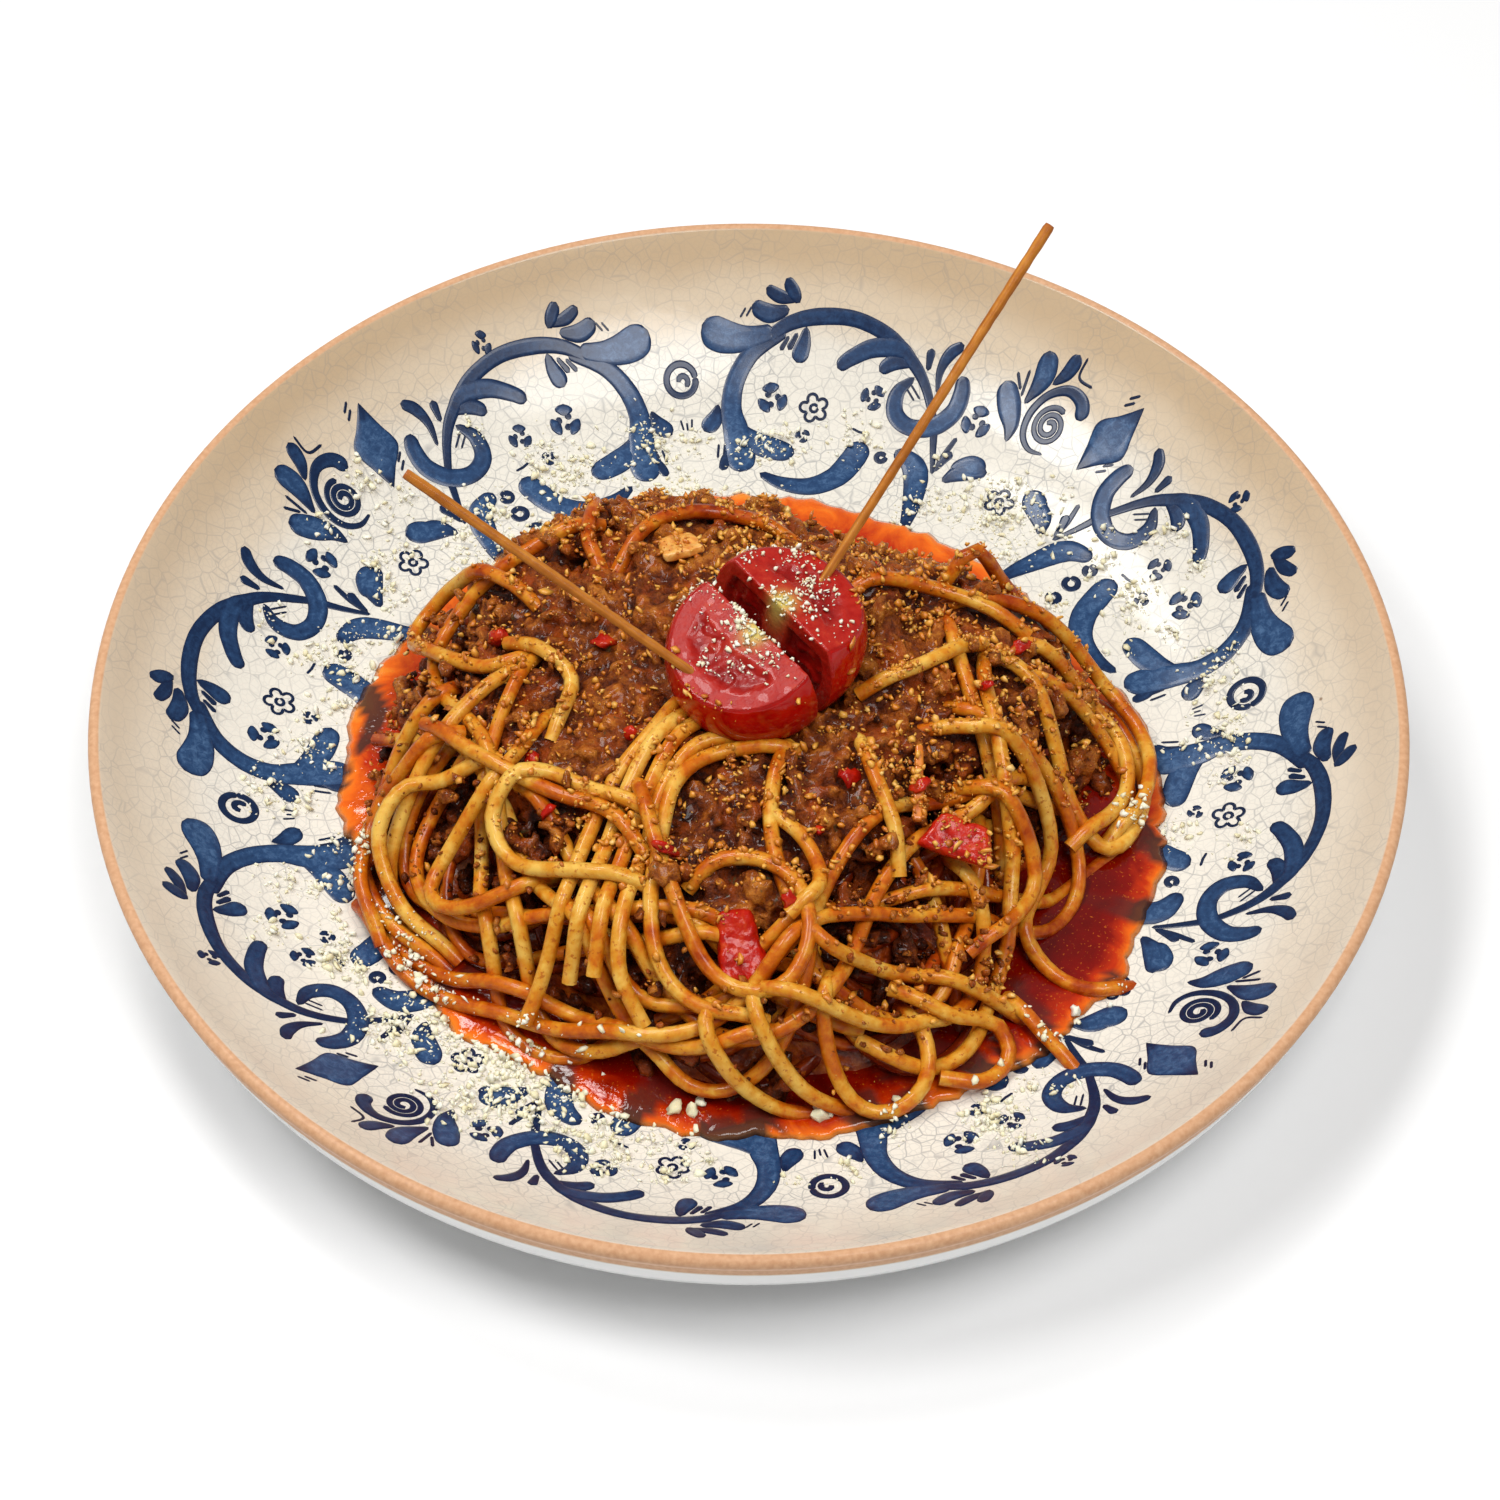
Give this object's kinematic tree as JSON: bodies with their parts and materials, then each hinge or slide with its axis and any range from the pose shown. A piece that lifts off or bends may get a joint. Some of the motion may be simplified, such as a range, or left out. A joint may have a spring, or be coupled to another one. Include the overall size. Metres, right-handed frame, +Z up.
{
  "type": "spaghetti bolognese",
  "caption": "Spaghetti heap under meat sauce and grated cheese, topped with an opened tomato and thin sticks, in a sauce pool on a deep stoneware plate with blue scrollwork",
  "frame": {"origin": "middle of the foot ring on the table", "axes": "+Z up, -Y towards the guest, +X to the guest's right"},
  "size_m": [0.27, 0.27, 0.099],
  "materials": {
    "stoneware": "gloss crackle glaze, cream shading to tan, blue painted scrolls, bare terracotta lip",
    "sauce": "wet red oily sauce",
    "pasta": "boiled pasta, moist satin, stained with sauce",
    "meat_sauce": "moist brown minced meat with oil",
    "tomato": "glossy red skin and wet flesh",
    "cheese": "dry crumbly grated hard cheese",
    "stick": "golden brown, slightly rough"
  },
  "bodies": {
    "root": {"plate": "stoneware", "sauce_pool": "sauce", "spaghetti": "pasta", "ragu": "meat_sauce", "tomato_wedge_front": "tomato", "tomato_wedge_back": "tomato", "tomato_dice_front": "tomato", "tomato_dice_right": "tomato", "cheese_flake": "cheese", "stick_left": "stick", "stick_right": "stick"}
  },
  "joints": []
}
